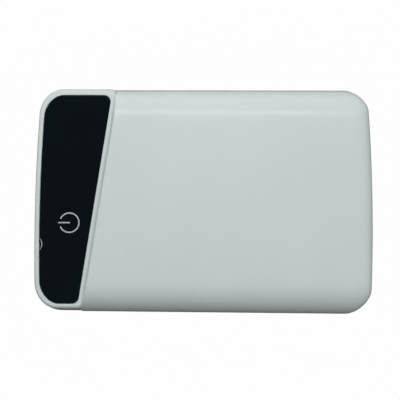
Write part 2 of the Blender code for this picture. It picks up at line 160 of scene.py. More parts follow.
def merge(bm, other):
    """Add the second bmesh to the first one."""
    if bm is None:
        return other
    mesh = bpy.data.meshes.new("part")
    other.to_mesh(mesh)
    other.free()
    bm.from_mesh(mesh)
    bpy.data.meshes.remove(mesh)
    return bm


def turned(profile, centre, axis="Z", steps=48):
    """Turn a profile of (radius, along) points about an axis."""
    bm = bmesh.new()
    cx, cy, cz = centre

    def place(r, a, k):
        c, s = math.cos(2 * math.pi * k / steps), math.sin(2 * math.pi * k / steps)
        if axis == "X":
            return (cx + a, cy + r * c, cz + r * s)
        if axis == "Y":
            return (cx + r * s, cy + a, cz + r * c)
        return (cx + r * c, cy + r * s, cz + a)

    rows = []
    for r, a in profile:
        rows.append([bm.verts.new(place(0.0, a, 0))] if r < 1e-9 else [bm.verts.new(place(r, a, k)) for k in range(steps)])
    closed = min(r for r, _ in profile) > 1e-9
    pairs = list(zip(rows, rows[1:])) + ([(rows[-1], rows[0])] if closed else [])
    for low, high in pairs:
        if len(low) == 1 and len(high) == 1:
            continue
        for k in range(steps):
            j = (k + 1) % steps
            if len(low) == 1:
                bm.faces.new((low[0], high[j], high[k]))
            elif len(high) == 1:
                bm.faces.new((low[k], low[j], high[0]))
            else:
                bm.faces.new((low[k], low[j], high[j], high[k]))
    return bm


def arc_profile(r_edge, r, a0, a1, n=5):
    """Profile of a cylinder with rounded rims."""
    pts = [(0.0, a0)]
    for k in range(n + 1):
        t = math.radians(90 * k / n)
        pts.append((r - r_edge + r_edge * math.sin(t), a0 + r_edge - r_edge * math.cos(t)))
    for k in range(n + 1):
        t = math.radians(90 * k / n)
        pts.append((r - r_edge + r_edge * math.cos(t), a1 - r_edge + r_edge * math.sin(t)))
    pts.append((0.0, a1))
    return pts


def rounded(corners, radii, seg=8):
    pts = []
    n = len(corners)
    for i in range(n):
        p, c, q = (Vector(corners[(i + k) % n]) for k in (-1, 0, 1))
        u, v = (p - c).normalized(), (q - c).normalized()
        half = u.angle(v) / 2
        r = radii[i]
        start = c + u * (r / math.tan(half))
        end = c + v * (r / math.tan(half))
        mid = c + (u + v).normalized() * (r / math.sin(half))
        a0 = math.atan2(start.y - mid.y, start.x - mid.x)
        turn = (math.atan2(end.y - mid.y, end.x - mid.x) - a0 + math.pi) % (2 * math.pi) - math.pi
        for k in range(seg + 1):
            a = a0 + turn * k / seg
            pts.append((mid.x + r * math.cos(a), mid.y + r * math.sin(a)))
    return pts


def round_rect(w, h, r, cx=0.0, cy=0.0, seg=8):
    return rounded([(cx - w / 2, cy - h / 2), (cx + w / 2, cy - h / 2), (cx + w / 2, cy + h / 2), (cx - w / 2, cy + h / 2)],
                   (min(r, h / 2 - 0.001, w / 2 - 0.001),) * 4, seg)


def rings_x(stack, y=0.0, z=0.0):
    """Loft along X from (x, outline of (across, up)) pairs."""
    return loft([[(x, y + a, z + b) for a, b in outline] for x, outline in stack])


def rings_y(stack, x=0.0, z=0.0):
    return loft([[(x + a, y, z + b) for a, b in outline] for y, outline in stack])


def tube_x(stack_out, stack_in, y=0.0, z=0.0):
    """A tube open at its first ring: outer skin from back to front, then the inner skin back again."""
    return rings_x(list(reversed(stack_out)) + stack_in, y, z)


# ------------------------------------------------------------------------------------------------
# Outlines of the case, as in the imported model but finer
# ------------------------------------------------------------------------------------------------
def window_line(y, offset=0.0):
    return WINDOW_X + SLANT * y + offset


def lean(z):
    return min(max((z - HEAD_LEAN_Z) / (HEAD_Z - HEAD_EDGE_R - HEAD_LEAN_Z), 0.0), 1.0) ** 1.6


HEAD_END = 1.25     # the head runs this far past the window's inner edge, into the cover


def inner_corner(z):
    t = min(max((z - 14.4) / (HEAD_Z - 14.4), 0.0), 1.0)
    return 0.5 + 1.0 * t * t * (3 - 2 * t)


def head_outline(in_x, in_y, right, right_r, left_r=None, proud=0.0, seg=14, ends=24):
    yh = HALF_W + proud - in_y
    x0 = -HALF_L + in_x
    corners = [(x0, -yh), (window_line(-yh, right), -yh), (window_line(yh, right), yh), (x0, yh)]
    r = left_r or CORNER_HEAD - (in_x + in_y) / 2
    pts = rounded(corners, (r, right_r, right_r, r), seg)
    out = []
    for i, (x, y) in enumerate(pts):
        out.append((x, y))
        xn, yn = pts[(i + 1) % len(pts)]
        if abs(x - x0) < 1e-3 and abs(xn - x0) < 1e-3 and abs(yn - y) > 5:
            out += [(x0, y + (yn - y) * k / ends) for k in range(1, ends)]
    return [(x + BULGE_HEAD * (y / HALF_W) ** 2 * min(max((x0 + r - x) / r, 0.0), 1.0), y) for x, y in out]


def window_outline(grow=0.0):
    return [(x, y - 0.11) for x, y in head_outline(WINDOW_IN_X - grow, WINDOW_IN_Y - grow, grow, max(WINDOW_INNER_R + grow, 0.3), WINDOW_R + grow)]


def case_ring(dy, dx_head, dx_tail, z, seg=6, ends=8, stations=(), rib=None):
    """One horizontal ring of the case. stations are X positions along the long sides; rib(x, y) is how deep the surface is there."""
    yh = HALF_W - dy
    b_head = max(CORNER_HEAD - 0.6 * dy, 0.6)
    b_tail = max(CORNER_TAIL - 0.6 * dy, 0.6)
    xh = -HALF_L + CORNER_HEAD
    a_head = xh - (-HALF_L + dx_head)
    a_tail = (HALF_L - dx_tail) - CORNER_TAIL_X
    ring = []
    s = min(max(dy / SIDE_ROLL_R, 0.0), 1.0)      # slope of the surface here, near enough for the ribs
    ny, nz = 1 - s, math.sqrt(max(0.0, 1 - (1 - s) ** 2))

    def corner(xc, a, bulge, sign_x, yc, b, t):
        y = yc + b * math.sin(t)
        c = math.cos(t)
        bow = bulge * (y / HALF_W) ** 2
        ring.append((xc + c * a - abs(c) * bow * sign_x, y, z))

    def end(xe, bulge, sign_x, y0, y1):
        for k in range(1, ends):
            y = y0 + (y1 - y0) * k / ends
            ring.append((xe - sign_x * bulge * (y / HALF_W) ** 2, y, z))

    def side(xs, sign):
        for x in xs:
            h = rib(x, sign * yh) if rib else 0.0
            ring.append((x, sign * (yh - h * ny), z - h * nz))

    yt, yb = yh - b_tail, yh - b_head
    for k in range(seg + 1):
        corner(CORNER_TAIL_X, a_tail, BULGE_TAIL, 1, -yt, b_tail, math.radians(-90 + 90 * k / seg))
    end(CORNER_TAIL_X + a_tail, BULGE_TAIL, 1, -yt, yt)
    for k in range(seg + 1):
        corner(CORNER_TAIL_X, a_tail, BULGE_TAIL, 1, yt, b_tail, math.radians(90 * k / seg))
    side(stations, 1)
    for k in range(seg + 1):
        corner(xh, a_head, BULGE_HEAD, -1, yb, b_head, math.radians(90 + 90 * k / seg))
    end(xh - a_head, BULGE_HEAD, -1, yb, -yb)
    for k in range(seg + 1):
        corner(xh, a_head, BULGE_HEAD, -1, -yb, b_head, math.radians(180 + 90 * k / seg))
    side(list(stations)[::-1], -1)
    return ring


def arc_in(rise, radius_z, radius_in):
    s = min(max(rise / radius_z, 0.0), 1.0)
    return radius_in * (1 - math.sqrt(1 - s * s))


ROLL_STEPS = (0.0, 0.26, 0.5, 0.71, 0.87, 0.955, 0.99, 1.0)
FINE_STEPS = tuple(math.sin(math.radians(90 * k / 22)) for k in range(23))


SHOULDER, SHOULDER_S = 2.6, 0.0129   # the crown eases into the side roll instead of starting it at once


def shoulder(angles):
    """(level above the parting plane, inset from the side) along the cover's long edge, at slope angles from 90 at the wall to 0 on the crown."""
    roll = SIDE_ROLL_R
    out = {}
    drop, a, step = 0.0, 0.0, 0.02
    todo = sorted(angles)
    while todo:
        while todo and a >= todo[0] - 1e-9:
            s = math.sin(math.radians(todo[0])) + SHOULDER_S
            y = HALF_W - roll + roll * s - SHOULDER / (4 * roll * s)
            out[todo.pop(0)] = (HEIGHT / 2 - drop, max(HALF_W - y, 0.0))
        mid = math.sin(math.radians(a + step / 2))
        drop += mid * (roll + SHOULDER / (4 * roll * (mid + SHOULDER_S) ** 2)) * math.radians(step)
        a += step
    return [out[k] for k in sorted(out, reverse=True)]


def ring_facts(wall, z_far, level, upward, head_r):
    """How far in the case lies at one level above the parting plane: at the sides, the head and the tail."""
    roll = SIDE_ROLL_R - wall
    tail_z = TAIL_ROLL_Z - wall
    tail_x = TAIL_ROLL_X if not wall else 3.6
    dy = wall + arc_in(level - (z_far - roll), roll, roll)
    dxt = wall + arc_in(level - (z_far - tail_z), tail_z, tail_x)
    dxh = wall + (arc_in(level - (z_far - head_r), head_r, head_r) if head_r else 0.0)
    if upward:
        dxh += HEAD_LEAN_X * lean(PARTING_Z + level) + (0.0 if wall else 1.0)
    return dy, dxh, dxt


def cavity_rings(z_far, z_near, upward, head_r):
    """Rings of the hollow inside one half."""
    roll = SIDE_ROLL_R - WALL
    start = z_far - roll
    rings = []
    for level in [z_near] + [start + roll * s for s in ROLL_STEPS]:
        dy, dxh, dxt = ring_facts(WALL, z_far, level, upward, head_r)
        rings.append(case_ring(dy, dxh, dxt, PARTING_Z + (level if upward else -level)))
    return rings if upward else rings[::-1]


# ------------------------------------------------------------------------------------------------
# Upper shell: ribbed cover, slanted step, flat head
# ------------------------------------------------------------------------------------------------
RIB_X = {}
for k in range(132):
    for at, down in zip(RIB_AT, RIB_DOWN):
        RIB_X[RIB_START - RIB_PITCH * k - at] = down
STATIONS = sorted(RIB_X, reverse=True) + [-33.0, -35.0, -36.6]


def rib_depth(x, y):
    depth = RIB_DEPTH * RIB_X.get(x, 0.0)
    tail = min(max((38.7 - x) / 1.2, 0.0), 1.0)
    step = min(max((x - window_line(y) - 2.8) / 0.6, 0.0), 1.0)
    return depth * tail * step


def cover_mesh():
    half_h = HEIGHT / 2
    start = half_h - SIDE_ROLL_R
    seg, ends = 12, 20
    levels = [(SHUT_GAP, SHUT_EDGE), (SHUT_GAP + 0.3 * SHUT_EDGE, 0.3 * SHUT_EDGE), (SHUT_GAP + SHUT_EDGE, 0.0)]
    rings = []
    for level, inset in levels:
        dy, dxh, dxt = ring_facts(0.0, half_h, level, True, 0.0)
        rings.append(case_ring(dy + inset, dxh + inset, dxt + inset, PARTING_Z + level, seg, ends, STATIONS, lambda x, y: 0.0))
    angles = [0, 0.6, 1.2, 2, 3, 4.5, 6.5, 9, 12, 16, 21, 27, 33, 39, 45, 52, 60, 70, 80, 90]
    for angle, (level, dy) in zip(angles[::-1], shoulder(angles)):
        share = min(max((78.0 - angle) / 30.0, 0.0), 1.0)      # the ribs run out before the upright wall
        _, dxh, dxt = ring_facts(0.0, half_h, level, True, 0.0)
        rings.append(case_ring(dy, dxh, dxt, PARTING_Z + level, seg, ends, STATIONS,
                               lambda x, y, share=share: share * rib_depth(x, y)))
    bm = bmesh.new()
    rows = [[bm.verts.new(p) for p in ring] for ring in rings]
    n = len(rows[0])
    for low, high in zip(rows, rows[1:]):
        for i in range(n):
            j = (i + 1) % n
            bm.faces.new((low[i], low[j], high[j], high[i]))
    bm.faces.new(rows[0][::-1])
    # the crown: a grid of strips between the two long sides, so that the ribs run right across
    top = rows[-1]
    m = len(STATIONS)
    i_plus = 2 * (seg + 1) + ends - 1          # first station on the +Y side
    i_head = i_plus + m                        # first point of the head's +Y corner
    i_minus = i_head + 2 * (seg + 1) + ends - 1
    plus = [top[i_plus - 1]] + top[i_plus:i_plus + m] + [top[i_head]]
    minus = [top[0]] + top[i_minus:i_minus + m][::-1] + [top[i_minus - 1]]
    cross = 12
    columns = []
    for at, a, b in zip([None] + STATIONS + [None], plus, minus):
        column = [a]
        for k in range(1, cross):
            y = a.co.y + (b.co.y - a.co.y) * k / cross
            x = a.co.x
            h = rib_depth(at, y) if at is not None else 0.0
            column.append(bm.verts.new((x, y, HEIGHT - h)))
        columns.append(column + [b])
    for one, two in zip(columns, columns[1:]):
        for k in range(cross):
            bm.faces.new((one[k], two[k], two[k + 1], one[k + 1]))
    bm.faces.new(top[0:i_plus] + columns[0][1:-1])
    bm.faces.new(top[i_head:i_minus] + columns[-1][1:-1][::-1])
    return bm


upper = make_object("upper_cover", cover_mesh())

# the slanted flank: a smooth S from the head up to the crown
def flank_curve():
    knots = [(0.60, -0.06), (0.92, 0.03), (1.18, 0.22), (1.40, 0.53), (1.62, 0.97), (1.82, 1.44), (1.98, 1.80), (2.14, 1.96), (2.36, 2.02), (2.76, 2.06)]
    pts = []
    for i in range(len(knots) - 1):
        p0 = knots[max(i - 1, 0)]
        p1, p2 = knots[i], knots[i + 1]
        p3 = knots[min(i + 2, len(knots) - 1)]
        for k in range(3):
            t = k / 3
            pts.append(tuple(0.5 * (2 * b + (c - a) * t + (2 * a - 5 * b + 4 * c - d) * t * t + (3 * b - a - 3 * c + d) * t ** 3)
                             for a, b, c, d in zip(p0, p1, p2, p3)))
    return pts + [knots[-1]]


flank = flank_curve()
section = [(flank[0][0], -9.4)] + flank + [(8.5, 4.0)]
bm = bmesh.new()
rows = []
for y in (-40.0, 40.0):
    row = [bm.verts.new((window_line(y, a), y, HEAD_Z + b)) for a, b in section]
    row += [bm.verts.new((-70.0, y, HEAD_Z + 4.0)), bm.verts.new((-70.0, y, HEAD_Z - 9.4))]
    rows.append(row)
count = len(rows[0])
for i in range(count):
    j = (i + 1) % count
    bm.faces.new((rows[0][i], rows[0][j], rows[1][j], rows[1][i]))
bm.faces.new(rows[0])
bm.faces.new(rows[1][::-1])
cut(upper, bm)

z0 = PARTING_Z + SHUT_GAP
EDGE_V, EDGE_X, EDGE_Y = 1.8, 0.98, 1.22      # the head's soft upper edge: height, and width at its end and its sides
FOOT_X, FOOT_Y, SIDEWAYS = 1.50, 1.045, 0.135 # how far the wall has leant in where that edge starts
head_levels = [(SHUT_EDGE, SHUT_EDGE, z0), (0.3 * SHUT_EDGE, 0.3 * SHUT_EDGE, z0 + 0.3 * SHUT_EDGE), (0.0, 0.0, z0 + SHUT_EDGE)]
for z in (12.2, HEAD_LEAN_Z, 13.3, 13.9, 14.5, 15.1, 15.7, 16.3, 16.9, 17.5, 18.1, HEAD_Z - EDGE_V):
    t = max((z - HEAD_LEAN_Z) / (HEAD_Z - EDGE_V - HEAD_LEAN_Z), 0.0) ** 1.6
    head_levels.append((FOOT_X * t, FOOT_Y * t, z))
for k in range(1, 13):
    a = math.radians(90 * k / 12)
    inset = 1 - math.cos(a)
    head_levels.append((FOOT_X + EDGE_X * inset, FOOT_Y + EDGE_Y * inset, HEAD_Z - EDGE_V * (1 - math.sin(a))))
join(upper, loft([[(x, y + SIDEWAYS * min(dy / FOOT_Y, 1.0), z) for x, y in head_outline(dx, dy, HEAD_END, inner_corner(z), proud=0.02)]
                  for dx, dy, z in head_levels]))

# everything that is taken away, gathered in one tool first
hollow = make_object("hollow", loft(cavity_rings(HEIGHT / 2 - WALL, -1.0, True, 0.0)))
low = make_object("low", box(-70, 80, -45, 45, 5.0, HEAD_CEILING))
join(low, prism([(window_line(-40, 2.1), -40), (80, -40), (80, 40), (window_line(40, 2.1), 40)], 5.0, 30.0))
boolean(hollow, low, "INTERSECT")
for y in (5.0, 23.0):
    cut(hollow, turned([(0.0, 15.65), (1.0, 15.65), (1.0, 19.0), (0.0, 19.0)], (-29.4, y, 0.0), steps=24))
join(hollow, loft([case_ring(0.95, 0.95, 0.95, z) for z in (PARTING_Z - 0.9, 12.6)]))
join(hollow, loft([[(x, y, z) for x, y in window_outline(g)]
                   for g, z in ((0.12, POCKET_FLOOR), (0.12, HEAD_Z - 0.14), (0.16, HEAD_Z - 0.05), (0.26, HEAD_Z + 0.02), (0.9, HEAD_Z + 0.6))]))
join(hollow, prism(rounded([(-41.0, 3.4), (-31.4, 3.4), (-31.4, 24.6), (-41.0, 24.6)], (0.8,) * 4, 5), 16.0, 19.5))


def port_cutters():
    """Openings for the sockets and the button, the same in both halves, each with a soft outer edge."""
    made = []
    for y in (-USB_A_Y, USB_A_Y):
        made.append(rings_x([(-49.0, round_rect(13.7 + 6.2, 6.2 + 6.2, 3.0)), (-46.05, round_rect(13.7 + 0.80, 6.2 + 0.80, 0.80)),
                             (-45.72, round_rect(13.7 + 0.26, 6.2 + 0.26, 0.55)), (-45.55, round_rect(13.7, 6.2, 0.42)),
                             (-42.5, round_rect(13.7, 6.2, 0.42))], y, PARTING_Z))
    w, h = 8.94 + 0.5, 3.2 + 0.5
    made.append(rings_x([(-49.0, round_rect(w + 5.8, h + 5.8, 9)), (-46.2, round_rect(w + 0.80, h + 0.80, 9)),
                         (-45.87, round_rect(w + 0.26, h + 0.26, 9)), (-45.70, round_rect(w, h, 9)), (-42.5, round_rect(w, h, 9))], 0.0, 8.1 + h / 2))
    w, h = BUTTON_W + 2 * BUTTON_GAP, BUTTON_H + 2 * BUTTON_GAP
    made.append(rings_y([(-33.5, round_rect(w + 6.0, h + 6.0, 9, seg=10)), (-30.78, round_rect(w + 0.56, h + 0.56, 9, seg=10)),
                         (-30.55, round_rect(w + 0.14, h + 0.14, 9, seg=10)), (-30.40, round_rect(w, h, 9, seg=10)),
                         (-28.0, round_rect(w, h, 9, seg=10))], BUTTON_X, BUTTON_Z))
    return made


for bm in port_cutters():
    join(hollow, bm)
boolean(upper, hollow, "DIFFERENCE")
shade(upper)

# ------------------------------------------------------------------------------------------------
# Lower shell
# ------------------------------------------------------------------------------------------------
half_h = HEIGHT / 2
levels = [(SHUT_GAP, SHUT_EDGE), (SHUT_GAP + 0.3 * SHUT_EDGE, 0.3 * SHUT_EDGE), (SHUT_GAP + SHUT_EDGE, 0.0)]
start = half_h - SIDE_ROLL_R
levels += [(start + SIDE_ROLL_R * s, 0.0) for s in FINE_STEPS]
levels = sorted(levels + [(half_h - HEAD_FOOT_R * (1 - math.sin(math.radians(a))), 0.0) for a in (0, 20, 40)])
rings = []
for level, inset in levels:
    dy, dxh, dxt = ring_facts(0.0, half_h, level, False, HEAD_FOOT_R)
    rings.append(case_ring(dy + inset, dxh + inset, dxt + inset, PARTING_Z - level, 14, 24, [30, 20, 10, 0, -10, -20, -30]))
lower = make_object("lower_tray", loft(rings[::-1]))
join(lower, loft([case_ring(1.1 + e, 1.1 + e, 1.1 + e, z, 12, 16) for e, z in ((0.0, PARTING_Z - 0.8), (0.0, 12.2), (0.2, 12.4))]))
hollow = make_object("hollow", loft(cavity_rings(half_h - WALL, -2.5, False, 0.8)))
for bm in port_cutters():
    join(hollow, bm)
boolean(lower, hollow, "DIFFERENCE")
for y in (-SCREW_Y, SCREW_Y):
    join(lower, turned([(0.0, 0.9), (2.7, 0.9), (2.3, 2.2), (2.3, 6.25), (2.15, 6.4), (0.0, 6.4)], (SCREW_X, y, 0.0), steps=32))
    cut(lower, turned([(0.0, 2.8), (1.15, 2.8), (1.15, 7.0), (0.0, 7.0)], (SCREW_X, y, 0.0), steps=24))
for y in (-10.5, 10.5):
    join(lower, turned([(0.0, 0.9), (1.4, 0.9), (1.2, 2.0), (1.2, 6.25), (1.1, 6.35), (0.0, 6.35)], (-41.0, y, 0.0), steps=24))
shade(lower)

# ------------------------------------------------------------------------------------------------
# Window, its printed icon and the nick at its edge
# ------------------------------------------------------------------------------------------------
r = 0.16
stack = [(0.02, WINDOW_TOP - WINDOW_T), (0.0, WINDOW_TOP - WINDOW_T + 0.05)]
for k in range(6):
    a = math.radians(90 * k / 5)
    stack.append((r * (1 - math.cos(a)), WINDOW_TOP - r * (1 - math.sin(a))))
window = make_object("display_panel", loft([[(x, y, z) for x, y in window_outline(-d)] for d, z in stack]))
shade(window, 40)

ICON_C, ICON_R, ICON_W, ICON_T = (-34.75, -6.70), 2.58, 0.35, 0.02


def stroke(points, width, z0, z1):
    """A flat printed line of even width with round ends."""
    n = len(points)
    left, right = [], []
    for i in range(n):
        p = Vector(points[max(i - 1, 0)])
        q = Vector(points[min(i + 1, n - 1)])
        d = (q - p).normalized()
        m = Vector((-d.y, d.x)) * width / 2
        c = Vector(points[i])
        left.append(c + m)
        right.append(c - m)
    outline = list(right)
    for centre, d0 in ((Vector(points[-1]), right[-1] - Vector(points[-1])),):
        a = math.atan2(d0.y, d0.x)
        outline += [centre + Vector((math.cos(a + math.pi * k / 8), math.sin(a + math.pi * k / 8))) * width / 2 for k in range(1, 8)]
    outline += left[::-1]
    a = math.atan2((left[0] - Vector(points[0])).y, (left[0] - Vector(points[0])).x)
    outline += [Vector(points[0]) + Vector((math.cos(a + math.pi * k / 8), math.sin(a + math.pi * k / 8))) * width / 2 for k in range(1, 8)]
    return prism([(p.x, p.y) for p in outline], z0, z1)


arc = []
for k in range(57):
    a = math.radians(-153.0 + (153.0 + 153.0) * k / 56)
    arc.append((ICON_C[0] + ICON_R * math.cos(a), ICON_C[1] + ICON_R * math.sin(a)))
bm = stroke(arc, ICON_W, WINDOW_TOP, WINDOW_TOP + ICON_T)
merge(bm, stroke([(ICON_C[0] - 2.76 + 2.80 * k / 6, ICON_C[1]) for k in range(7)], ICON_W, WINDOW_TOP, WINDOW_TOP + ICON_T))
icon = make_object("power_icon", bm)
shade(icon, 40, False)

nick = []
for k in range(15):
    t = k / 14
    nick.append((-42.62 + 0.86 * math.sin(math.pi * t) ** 0.8, -10.75 - 3.35 * t))
back = []
for k in range(15):
    t = 1 - k / 14
    back.append((-42.62 + 0.86 * math.sin(math.pi * t) ** 0.8 - 0.10 - 0.30 * math.sin(math.pi * t) * (1 - 0.6 * t), -10.75 - 3.35 * t))
chip = make_object("panel_edge_nick", prism(nick[::-1] + back[::-1], WINDOW_TOP - 0.01, WINDOW_TOP + 0.012))
shade(chip, 40, False)

# ------------------------------------------------------------------------------------------------
# Sockets
# ------------------------------------------------------------------------------------------------
cans, tongues, contacts, springs = [], [], [], []
for n, y in (("1", USB_A_Y), ("2", -USB_A_Y)):
    x0, x1, z0, z1 = -45.2, -31.3, 8.35, 14.05
    zc = (z0 + z1) / 2
    w, h, t = 13.2, z1 - z0, 0.35

    def ring_of(grow, r=0.6, w=w, h=h):
        return round_rect(w + 2 * grow, h + 2 * grow, max(r + grow, 0.1))

    out = [(x0, ring_of(-0.12)), (x0 + 0.05, ring_of(-0.035)), (x0 + 0.14, ring_of(0.0)), (x1 - 0.3, ring_of(0.0)), (x1, ring_of(-0.25))]
    ins = [(x0, ring_of(-0.14)), (x0 + 0.10, ring_of(-0.22)), (x0 + 0.35, ring_of(-0.33)), (x0 + 0.6, ring_of(-t)), (x1 - 0.4, ring_of(-t))]
    can = make_object("usb_a_can_" + n, tube_x(out, ins, y, zc))
    shade(can, 40)
    cans.append((can, "usb_a_shell_" + n))
    # four leaf springs, bowed inwards
    bm = bmesh.new()
    for yy, base, up in ((-3.0, z0 + t, 1), (3.0, z0 + t, 1), (-3.0, z1 - t, -1), (3.0, z1 - t, -1)):
        rings = []
        for k in range(17):
            s = k / 16
            x = -43.4 + 6.2 * s
            lift = 0.34 * math.sin(math.pi * s) ** 1.5 + 0.02
            zz = base + up * lift
            wd = 0.9 - 0.15 * math.sin(math.pi * s)
            rings.append([(x, y + yy - wd, zz - 0.09), (x, y + yy + wd, zz - 0.09), (x, y + yy + wd, zz + 0.09), (x, y + yy - wd, zz + 0.09)])
        merge(bm, loft(rings))
    spring = make_object("usb_a_springs_" + n, bm)
    shade(spring, 35, False)
    springs.append(spring)
    # plastic tongue with a rounded nose, and its base
    bm = rings_x([(-44.40, round_rect(10.9, 1.3, 0.3)), (-44.28, round_rect(11.1, 1.6, 0.3)), (-44.05, round_rect(11.2, 1.8, 0.3)), (-35.0, round_rect(11.2, 1.8, 0.3))], y, 12.3)
    tongue = make_object("usb_a_insert_" + n, bm)
    join(tongue, box(-35.4, -31.95, y - 6.0, y + 6.0, 8.95, 13.45, 0.15, 2))
    for yy in (-3.5, -1.0, 1.0, 3.5):
        cut(tongue, box(-43.9, -35.9, y + yy - 0.6, y + yy + 0.6, 11.3, 11.52))
    shade(tongue, 35)
    tongues.append((tongue, "usb_a_tongue_" + n))
    bm = bmesh.new()
    for i, yy in enumerate((-3.5, -1.0, 1.0, 3.5)):
        xs = -43.5 if i in (0, 3) else -42.6
        rings = []
        for k in range(13):
            s = k / 12
            x = xs + (-35.95 - xs) * s
            zz = 11.44 - 0.16 * math.sin(math.pi * min(s * 2.2, 1.0)) ** 1.2
            rings.append([(x, y + yy - 0.48, zz - 0.05), (x, y + yy + 0.48, zz - 0.05), (x, y + yy + 0.48, zz + 0.05), (x, y + yy - 0.48, zz + 0.05)])
        merge(bm, loft(rings))
    contact = make_object("usb_a_contacts_" + n, bm)
    shade(contact, 35, False)
    contacts.append(contact)

w, h, zc = 8.94, 3.2, 8.35 + 1.6
out = [(-45.4, round_rect(w - 0.20, h - 0.20, 9, seg=10)), (-45.36, round_rect(w - 0.07, h - 0.07, 9, seg=10)), (-45.26, round_rect(w, h, 9, seg=10)), (-36.4, round_rect(w, h, 9, seg=10))]
ins = [(-45.4, round_rect(w - 0.24, h - 0.24, 9, seg=10)), (-45.3, round_rect(w - 0.42, h - 0.42, 9, seg=10)), (-45.05, round_rect(w - 0.6, h - 0.6, 9, seg=10)), (-36.75, round_rect(w - 0.6, h - 0.6, 9, seg=10))]
can = make_object("usb_c_can", tube_x(out, ins, 0.0, zc))
shade(can, 40)
cans.append((can, "usb_c_shell"))
bm = rings_x([(-44.8, round_rect(6.3, 0.46, 0.2)), (-44.7, round_rect(6.55, 0.62, 0.2)), (-44.55, round_rect(6.7, 0.7, 0.2)), (-38.8, round_rect(6.7, 0.7, 0.2))], 0.0, zc)
tongue = make_object("usb_c_insert", bm)
join(tongue, rings_x([(-39.6, round_rect(8.1, 2.36, 9)), (-36.9, round_rect(8.1, 2.36, 9))], 0.0, zc))
join(tongue, rings_x([(-41.2, round_rect(7.2, 1.3, 0.3)), (-39.4, round_rect(7.2, 1.3, 0.3))], 0.0, zc))
shade(tongue, 35)
tongues.append((tongue, "usb_c_tongue"))
bm = bmesh.new()
for i in range(12):
    yy = -2.75 + 0.5 * i
    xs = -44.35 if i in (0, 3, 8, 11) else -43.9
    for side in (-1, 1):
        zz = zc + side * 0.36
        box(xs, -41.25, yy - 0.13, yy + 0.13, zz - 0.03, zz + 0.03, bm=bm)
contact = make_object("usb_c_contacts", bm)
shade(contact, 35, False)
contacts.append(contact)

# ------------------------------------------------------------------------------------------------
# Push button
# ------------------------------------------------------------------------------------------------
bm = rings_y([(-30.65, round_rect(7.2, 1.5, 9, seg=12)), (-30.64, round_rect(7.7, 2.0, 9, seg=12)), (-30.60, round_rect(8.1, 2.35, 9, seg=12)),
              (-30.52, round_rect(8.40, 2.62, 9, seg=12)), (-30.38, round_rect(8.55, 2.76, 9, seg=12)), (-30.20, round_rect(8.6, 2.8, 9, seg=12)),
              (-28.78, round_rect(8.6, 2.8, 9, seg=12)), (-28.78, round_rect(10.7, 4.7, 9, seg=12)), (-28.72, round_rect(10.8, 4.8, 9, seg=12)),
              (-28.26, round_rect(10.8, 4.8, 9, seg=12)), (-28.2, round_rect(10.7, 4.7, 9, seg=12))], BUTTON_X, BUTTON_Z)
button = make_object("side_button", bm)
join(button, turned([(0.0, -28.5), (1.35, -28.5), (1.2, -28.0), (1.2, -27.45), (1.05, -27.3), (0.0, -27.3)], (BUTTON_X, 0.0, BUTTON_Z), "Y", 32))
shade(button, 40)


